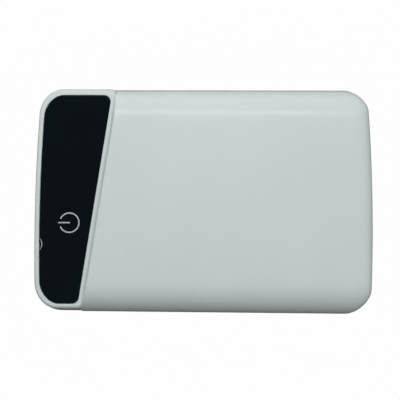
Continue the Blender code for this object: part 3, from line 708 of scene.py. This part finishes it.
# ------------------------------------------------------------------------------------------------
# Materials
# ------------------------------------------------------------------------------------------------
class Net:
    """A short way to write one material's nodes. Scales are in features per millimetre of the object."""

    def __init__(self, name, colour, rough, metallic=0.0, **sockets):
        self.mat = bpy.data.materials.new(name)
        self.mat.use_nodes = True
        self.tree = self.mat.node_tree
        self.shader = self.tree.nodes["Principled BSDF"]
        self.shader.inputs["Base Color"].default_value = (*colour, 1.0)
        self.shader.inputs["Roughness"].default_value = rough
        self.shader.inputs["Metallic"].default_value = metallic
        for key, value in sockets.items():
            self.shader.inputs[key.replace("_", " ")].default_value = value
        self.mat.diffuse_color = (*colour, 1.0)
        self.coord = self.tree.nodes.new("ShaderNodeTexCoord")

    def node(self, kind, **values):
        made = self.tree.nodes.new(kind)
        for key, value in values.items():
            if hasattr(made, key):
                setattr(made, key, value)
        return made

    def link(self, a, b):
        self.tree.links.new(a, b)

    def place(self, scale=(1.0, 1.0, 1.0), turn=(0.0, 0.0, 0.0)):
        m = self.node("ShaderNodeMapping")
        m.inputs["Scale"].default_value = [1000.0 * s for s in scale]
        m.inputs["Rotation"].default_value = turn
        self.link(self.coord.outputs["Object"], m.inputs["Vector"])
        return m.outputs["Vector"]

    def noise(self, scale, detail=3.0, rough=0.55, stretch=(1.0, 1.0, 1.0), distortion=0.0):
        t = self.node("ShaderNodeTexNoise")
        t.inputs["Scale"].default_value = scale
        t.inputs["Detail"].default_value = detail
        t.inputs["Roughness"].default_value = rough
        t.inputs["Distortion"].default_value = distortion
        self.link(self.place(stretch), t.inputs["Vector"])
        return t.outputs["Fac"]

    def voronoi(self, scale, feature="F1", stretch=(1.0, 1.0, 1.0)):
        t = self.node("ShaderNodeTexVoronoi", feature=feature)
        t.inputs["Scale"].default_value = scale
        self.link(self.place(stretch), t.inputs["Vector"])
        return t.outputs["Distance"]

    def wave(self, scale, direction="X", distortion=0.0):
        t = self.node("ShaderNodeTexWave", bands_direction=direction)
        t.inputs["Scale"].default_value = scale
        t.inputs["Distortion"].default_value = distortion
        self.link(self.place(), t.inputs["Vector"])
        return t.outputs["Fac"]

    def span(self, value, a0, a1, b0, b1):
        m = self.node("ShaderNodeMapRange")
        m.inputs["From Min"].default_value = a0
        m.inputs["From Max"].default_value = a1
        m.inputs["To Min"].default_value = b0
        m.inputs["To Max"].default_value = b1
        self.link(value, m.inputs["Value"])
        return m.outputs["Result"]

    def maths(self, op, a, b):
        m = self.node("ShaderNodeMath", operation=op)
        for i, v in enumerate((a, b)):
            if isinstance(v, (int, float)):
                m.inputs[i].default_value = v
            else:
                self.link(v, m.inputs[i])
        return m.outputs[0]

    def mix(self, fac, a, b):
        m = self.node("ShaderNodeMix", data_type="RGBA")
        self.link(fac, m.inputs[0])
        for i, v in ((6, a), (7, b)):
            if isinstance(v, tuple):
                m.inputs[i].default_value = (*v, 1.0)
            else:
                self.link(v, m.inputs[i])
        return m.outputs[2]

    def colour(self, out):
        self.link(out, self.shader.inputs["Base Color"])
        return self

    def rough(self, out):
        self.link(out, self.shader.inputs["Roughness"])
        return self

    def bump(self, height, strength, distance_mm):
        b = self.node("ShaderNodeBump")
        b.inputs["Strength"].default_value = strength
        b.inputs["Distance"].default_value = distance_mm * MM
        self.link(height, b.inputs["Height"])
        self.link(b.outputs["Normal"], self.shader.inputs["Normal"])
        return self


def tone(c, k):
    return tuple(min(v * k, 1.0) for v in c)


def grained(name, colour, rough, metallic=0.0, vary=0.06, patch=0.12, grain=9.0, depth=0.004, rough_by=0.06, **sockets):
    """Moulded or coated surface: slow colour drift, fine grain in the bump, and patchy gloss."""
    n = Net(name, colour, rough, metallic, **sockets)
    slow = n.noise(patch, 2.0)
    n.colour(n.mix(n.span(slow, 0.3, 0.7, 0.0, 1.0), tone(colour, 1 - vary), tone(colour, 1 + vary)))
    n.rough(n.span(n.noise(patch * 6, 4.0, 0.65), 0.3, 0.7, rough - rough_by, rough + rough_by))
    n.bump(n.noise(grain, 3.0, 0.6), 0.5, depth)
    return n.mat


BODY = (0.605, 0.655, 0.655)


def case_plastic(name, colour=BODY, rough=0.40):
    """Satin light-grey plastic: very fine spark grain, faint gloss patches from handling, tiny pale scuffs, edges rubbed a little."""
    n = Net(name, colour, rough, Specular_IOR_Level=0.22)
    drift = n.span(n.noise(0.035, 2.0, 0.5), 0.35, 0.65, 0.0, 1.0)
    base = n.mix(drift, tone(colour, 0.988), tone(colour, 1.012))
    specks = n.span(n.voronoi(0.22), 0.0, 0.035, 1.0, 0.0)
    gate = n.span(n.noise(0.05, 1.0), 0.56, 0.60, 0.0, 1.0)
    base = n.mix(n.maths("MULTIPLY", specks, n.maths("MULTIPLY", gate, 0.35)), base, tone(colour, 0.72))
    point = n.node("ShaderNodeNewGeometry").outputs["Pointiness"]
    rubbed = n.span(point, 0.53, 0.60, 0.0, 0.35)
    n.colour(n.mix(n.maths("MULTIPLY", rubbed, n.noise(0.6, 2.0)), base, tone(colour, 1.12)))
    patches = n.noise(0.08, 3.0, 0.6)
    fine = n.noise(3.0, 2.0, 0.6)
    n.rough(n.span(n.maths("ADD", n.maths("MULTIPLY", patches, 0.7), n.maths("MULTIPLY", fine, 0.3)), 0.3, 0.7, rough - 0.03, rough + 0.04))
    n.bump(n.noise(11.0, 2.0, 0.6), 0.10, 0.002)
    return n.mat


def gloss_panel(name):
    """Black acrylic: deep gloss, hair-fine swirl scratches in the roughness, a breath of orange peel."""
    n = Net(name, (0.0012, 0.0028, 0.0045), 0.06, Specular_IOR_Level=0.30, Specular_Tint=(0.70, 0.96, 1.0, 1.0))
    tint = n.span(n.noise(0.03, 1.0), 0.35, 0.65, 0.0, 1.0)
    n.colour(n.mix(tint, (0.0004, 0.0014, 0.0026), (0.0008, 0.0030, 0.0050)))
    hair = n.span(n.noise(0.5, 5.0, 0.7, (0.12, 6.0, 1.0), 0.6), 0.62, 0.70, 0.0, 1.0)
    hair2 = n.span(n.noise(0.4, 5.0, 0.7, (5.0, 0.16, 1.0), 0.5), 0.64, 0.72, 0.0, 1.0)
    n.rough(n.span(n.maths("MAXIMUM", hair, hair2), 0.0, 1.0, 0.055, 0.16))
    n.bump(n.noise(0.35, 2.0), 0.12, 0.004)
    return n.mat


def metal(name, colour, rough, grain=(0.3, 6.0, 6.0), stain=0.10):
    """Plated or rolled metal: drawn grain along X, faint tarnish."""
    n = Net(name, colour, rough, 1.0)
    n.colour(n.mix(n.span(n.noise(0.5, 4.0, 0.6), 0.35, 0.7, 0.0, 1.0), tone(colour, 1.0 + stain * 0.4), tone(colour, 1.0 - stain)))
    lines = n.noise(2.0, 3.0, 0.6, grain)
    n.rough(n.span(lines, 0.3, 0.7, rough - 0.06, rough + 0.10))
    n.bump(lines, 0.25, 0.006)
    return n.mat


def board_green(name):
    """Solder mask over copper: lighter tracks with a slight rise, glass weave in the gloss."""
    n = Net(name, (0.010, 0.105, 0.035), 0.30, Coat_Weight=0.3, Coat_Roughness=0.12)
    tracks = n.node("ShaderNodeTexBrick")
    tracks.offset = 0.37
    tracks.squash = 0.6
    tracks.inputs["Scale"].default_value = 0.42
    tracks.inputs["Mortar Size"].default_value = 0.030
    tracks.inputs["Mortar Smooth"].default_value = 0.2
    tracks.inputs["Color1"].default_value = (0.008, 0.085, 0.028, 1)
    tracks.inputs["Color2"].default_value = (0.010, 0.110, 0.036, 1)
    tracks.inputs["Mortar"].default_value = (0.040, 0.230, 0.080, 1)
    n.link(n.place((1.0, 1.0, 0.0)), tracks.inputs["Vector"])
    n.colour(tracks.outputs["Color"])
    weave = n.maths("MULTIPLY", n.wave(1.6, "X"), n.wave(1.6, "Y"))
    n.rough(n.span(weave, 0.0, 1.0, 0.26, 0.38))
    n.bump(tracks.outputs["Fac"], 0.3, 0.02)
    return n.mat


def cell_wrap(name, colour):
    """Heat-shrink sleeve: glossy film with long soft creases."""
    n = Net(name, colour, 0.28, Coat_Weight=0.4, Coat_Roughness=0.15)
    crease_and_shade = n.noise(0.35, 4.0, 0.6, (0.25, 1.4, 1.4), 0.4)
    # the colour follows the crease height used for the bump: hollows painted darker and ridges lighter, painted shade
    # of the creases
    n.colour(n.mix(n.span(crease_and_shade, 0.3, 0.75, 0.0, 1.0), tone(colour, 0.82), tone(colour, 1.15)))
    n.rough(n.span(n.noise(0.8, 3.0), 0.3, 0.7, 0.22, 0.36))
    n.bump(crease_and_shade, 0.35, 0.06)
    return n.mat


def fibre(name, colour):
    """Pressed fibre paper: short tangled fibres."""
    n = Net(name, colour, 0.85)
    strands = n.noise(1.1, 6.0, 0.75, (3.0, 0.6, 1.0), 1.2)
    n.colour(n.mix(n.span(strands, 0.35, 0.65, 0.0, 1.0), tone(colour, 0.86), tone(colour, 1.08)))
    n.rough(n.span(strands, 0.3, 0.7, 0.78, 0.92))
    n.bump(strands, 0.5, 0.03)
    return n.mat


MAT_CASE = case_plastic("case_plastic", BODY, 0.15)
MAT_TRAY = case_plastic("tray_plastic", tone(BODY, 0.99), 0.42)
MAT_BUTTON = case_plastic("button_plastic", tone(BODY, 1.01), 0.34)
MAT_PANEL = gloss_panel("panel_acrylic")
MAT_ICON = grained("icon_print", (0.40, 0.42, 0.43), 0.55, vary=0.05, patch=0.8, grain=14.0, depth=0.002)
MAT_NICK = grained("nick_crazed", (0.30, 0.30, 0.29), 0.45, vary=0.35, patch=1.6, grain=12.0, depth=0.01)
MAT_STEEL = metal("socket_steel", (0.62, 0.62, 0.61), 0.28)
MAT_SPRING = metal("spring_steel", (0.58, 0.58, 0.57), 0.30)
MAT_GOLD = metal("contact_gold", (0.83, 0.58, 0.22), 0.24, stain=0.06)
MAT_WHITE = grained("insert_white", (0.72, 0.72, 0.68), 0.45, vary=0.03, patch=0.4)
MAT_BLACK = grained("moulded_black", (0.018, 0.018, 0.020), 0.42, vary=0.15, patch=0.5, grain=8.0)


def give(ob, mat):
    ob.data.materials.clear()
    ob.data.materials.append(mat)
    return ob


def place(ob, mat, body="case", slot=None, nodes=()):
    give(ob, mat)
    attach(ob, body)
    if nodes:
        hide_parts(*nodes)
    return ob


place(upper, MAT_CASE, "case", "case", ["upper_shell"])
place(lower, MAT_TRAY, "case", "case", ["lower_shell"])
place(window, MAT_PANEL, "case", "window", ["display_window"])
place(icon, MAT_ICON, "case")
place(chip, MAT_NICK, "case")
place(button, MAT_BUTTON, "button", "button", ["power_button"])
for can, node in cans:
    place(can, MAT_STEEL, "case", "socket_metal", [node])
for spring in springs:
    place(spring, MAT_SPRING, "case", "socket_metal")
for tongue, node in tongues:
    if node == "usb_c_tongue":
        place(tongue, MAT_BLACK, "case", "black_plastic", [node])
    else:
        place(tongue, MAT_WHITE, "case", "socket_white", [node])
for contact in contacts:
    place(contact, MAT_GOLD, "case")

# carried-over nodes
CARRIED = {
    "window_tape": grained("tape_foam", (0.03, 0.03, 0.03), 0.85, vary=0.2, patch=2.0, grain=5.0, depth=0.02),
    "main_board": board_green("board_main"),
    "display_board": board_green("board_display"),
    "display_module": grained("display_glass", (0.03, 0.03, 0.032), 0.22, vary=0.1, patch=0.2, grain=6.0, depth=0.002),
    "display_header": grained("header_black", (0.02, 0.02, 0.02), 0.5, vary=0.2, patch=0.8, grain=7.0),
    "tact_switch": metal("switch_frame", (0.60, 0.60, 0.58), 0.32),
    "switch_plunger": grained("plunger_black", (0.02, 0.02, 0.02), 0.45, vary=0.2, patch=1.0, grain=9.0),
    "power_inductor": grained("ferrite_grey", (0.075, 0.075, 0.08), 0.6, vary=0.25, patch=1.5, grain=6.0, depth=0.02),
    "controller_ic": grained("package_black", (0.016, 0.016, 0.017), 0.5, vary=0.2, patch=0.8, grain=10.0, depth=0.006),
    "board_screw_1": metal("screw_steel_1", (0.50, 0.50, 0.50), 0.33, (4.0, 4.0, 0.4)),
    "board_screw_2": metal("screw_steel_2", (0.50, 0.50, 0.50), 0.33, (4.0, 4.0, 0.4)),
    "cell_insulator": fibre("insulator_fibre", (0.55, 0.48, 0.34)),
    "positive_strip": metal("strip_nickel_1", (0.66, 0.64, 0.60), 0.30, (6.0, 0.3, 6.0)),
    "negative_strip": metal("strip_nickel_2", (0.66, 0.64, 0.60), 0.30, (6.0, 0.3, 6.0)),
    "positive_lead": grained("lead_red", (0.45, 0.012, 0.012), 0.42, vary=0.12, patch=0.6, grain=6.0),
    "negative_lead": grained("lead_black", (0.015, 0.015, 0.015), 0.42, vary=0.2, patch=0.6, grain=6.0),
}
for k in (1, 2, 3):
    CARRIED["capacitor_%d" % k] = grained("capacitor_%d_ceramic" % k, (0.30, 0.20, 0.12), 0.5, vary=0.12, patch=1.2, grain=7.0)
    CARRIED["cell_%d" % k] = cell_wrap("cell_wrap_%d" % k, (0.015, 0.13, 0.36))
    CARRIED["cell_ring_%d" % k] = fibre("ring_fibre_%d" % k, (0.70, 0.70, 0.66))
for name, mat in CARRIED.items():
    give(NODES[name], mat)

# ------------------------------------------------------------------------------------------------
# Floor, light and camera
# ------------------------------------------------------------------------------------------------
bm = bmesh.new()
bmesh.ops.create_circle(bm, cap_ends=True, radius=6000.0, segments=64)
floor = make_object("studio_floor", bm, recalc=False)
floor.location.z = -0.0002
mat = bpy.data.materials.new("floor_white")
mat.use_nodes = True
tree = mat.node_tree
tree.nodes.clear()
out = tree.nodes.new("ShaderNodeOutputMaterial")
glow = tree.nodes.new("ShaderNodeEmission")
clear = tree.nodes.new("ShaderNodeBsdfTransparent")
mixer = tree.nodes.new("ShaderNodeMixShader")
geo = tree.nodes.new("ShaderNodeNewGeometry")
# the floor glows evenly white, and ambient occlusion dims that glow within 3.4 mm of the case: a painted contact shadow
# under its edges
painted_contact_shadow = tree.nodes.new("ShaderNodeAmbientOcclusion")
painted_contact_shadow.samples = 8
painted_contact_shadow.inputs["Distance"].default_value = 0.0034
ramp = tree.nodes.new("ShaderNodeMapRange")
ramp.inputs["From Min"].default_value = 0.0
ramp.inputs["From Max"].default_value = 1.0
ramp.inputs["To Min"].default_value = 0.12
ramp.inputs["To Max"].default_value = 0.99
tree.links.new(painted_contact_shadow.outputs["AO"], ramp.inputs["Value"])
tree.links.new(ramp.outputs["Result"], glow.inputs["Strength"])
tree.links.new(geo.outputs["Backfacing"], mixer.inputs[0])
tree.links.new(glow.outputs[0], mixer.inputs[1])
tree.links.new(clear.outputs[0], mixer.inputs[2])
tree.links.new(mixer.outputs[0], out.inputs[0])
floor.data.materials.append(mat)
floor.visible_diffuse = False
floor.visible_glossy = False
floor.visible_transmission = False
floor.visible_shadow = False

world = bpy.data.worlds.new("studio")
bpy.context.scene.world = world
world.use_nodes = True
tree = world.node_tree
tree.nodes.clear()
out = tree.nodes.new("ShaderNodeOutputWorld")
background = tree.nodes.new("ShaderNodeBackground")
seen = tree.nodes.new("ShaderNodeBackground")
seen.inputs["Color"].default_value = (0.99, 0.99, 0.99, 1.0)
background.inputs["Color"].default_value = (0.97, 1.0, 1.0, 1.0)
mixer = tree.nodes.new("ShaderNodeMixShader")
path = tree.nodes.new("ShaderNodeLightPath")
coord = tree.nodes.new("ShaderNodeTexCoord")
split = tree.nodes.new("ShaderNodeSeparateXYZ")
ramp = tree.nodes.new("ShaderNodeMapRange")
ramp.inputs["From Min"].default_value = -0.02
ramp.inputs["From Max"].default_value = 0.02
ramp.inputs["To Min"].default_value = 0.0
ramp.inputs["To Max"].default_value = 0.20
tree.links.new(coord.outputs["Generated"], split.inputs[0])
tree.links.new(split.outputs["Z"], ramp.inputs["Value"])
tree.links.new(ramp.outputs["Result"], background.inputs["Strength"])
tree.links.new(path.outputs["Is Camera Ray"], mixer.inputs[0])
tree.links.new(background.outputs[0], mixer.inputs[1])
tree.links.new(seen.outputs[0], mixer.inputs[2])
tree.links.new(mixer.outputs[0], out.inputs[0])


def area_light(name, direction, distance, size, power, colour=(1, 1, 1), target=(0.0, 0.0, 0.015)):
    data = bpy.data.lights.new(name, "AREA")
    data.shape = "RECTANGLE" if isinstance(size, tuple) else "DISK"
    data.size = size[0] if isinstance(size, tuple) else size
    if isinstance(size, tuple):
        data.size_y = size[1]
    data.energy = power
    data.color = colour
    light = bpy.data.objects.new(name, data)
    d = Vector(direction).normalized()
    light.location = Vector(target) + d * distance
    light.rotation_mode = "QUATERNION"
    light.rotation_quaternion = d.to_track_quat("Z", "Y")
    light.visible_camera = False
    bpy.context.scene.collection.objects.link(light)
    return light


def sky_light(name, azimuth, elevation, distance, weight, size=None, glossy=False, diffuse=True):
    """A soft disc. weight is how bright it makes the light-grey plastic when it shines on it squarely."""
    a, e = math.radians(azimuth), math.radians(elevation)
    radius = min(distance * 0.55, distance * math.sin(e))
    light = area_light(name, (math.cos(e) * math.cos(a), math.cos(e) * math.sin(a), math.sin(e)), distance,
                       size or 2 * radius, weight * math.pi ** 2 * distance ** 2 / 0.64)
    light.visible_glossy = glossy
    light.visible_diffuse = diffuse
    return light


sky_light("soft_back", 90, 55, 0.30, 0.385)
sky_light("soft_back_left", 130, 55, 0.30, 0.125)
sky_light("soft_top", 75, 65, 0.30, 0.055)
sky_light("soft_over", 350, 80, 0.34, 0.062)
sky_light("soft_right", 342, 13, 0.80, 0.125)
sky_light("soft_low_back", 90, 15, 0.60, 0.075)
sky_light("soft_front_left", 240, 35, 0.50, 0.012)
sky_light("side_front", 270, 6, 0.60, 0.012, 0.30)
sky_light("side_left", 180, 6, 0.60, 0.020, 0.30)
sky_light("window_glint", 88, 62.4, 0.378, 0.13, (0.30, 0.050), True, False)
for name, (dx, dy, power) in {"low_front": (0, -1, 0.35), "low_back": (0, 1, 0.45), "low_left": (-1, 0, 0.3), "low_right": (1, 0, 0.45)}.items():
    a = math.radians(-68.0)
    area_light(name, (dx * math.cos(a), dy * math.cos(a), math.sin(a)), 0.5, 0.12, power).visible_glossy = False

D, F_PX = 0.140, 492.183
THETA, PHI, ROLL = (math.radians(v) for v in (4.0526, 1.1509, 0.4268))
d = Vector((math.sin(PHI) * math.cos(THETA), -math.sin(THETA), math.cos(PHI) * math.cos(THETA)))
centre = Vector((-0.2033, 0.2098, 11.0)) * MM + d * D
x = Vector((0, 1, 0)).cross(d).normalized()
y = d.cross(x)
c, s = math.cos(ROLL), math.sin(ROLL)
x, y = c * x + s * y, -s * x + c * y
camera_data = bpy.data.cameras.new("camera")
camera_data.sensor_width = 36.0
camera_data.lens = F_PX / 400.0 * 36.0
camera_data.clip_start = 0.005
camera_data.clip_end = 20.0
camera = bpy.data.objects.new("camera", camera_data)
bpy.context.scene.collection.objects.link(camera)
m = Matrix.Identity(4)
for i, v in enumerate((x, y, d, centre)):
    for j in range(3):
        m[j][i] = v[j]
camera.matrix_world = m
bpy.context.scene.camera = camera
bpy.context.scene.view_settings.view_transform = "Standard"
bpy.context.scene.view_settings.look = "None"
bpy.context.scene.view_settings.exposure = 0.0
bpy.context.scene.view_settings.gamma = 1.0
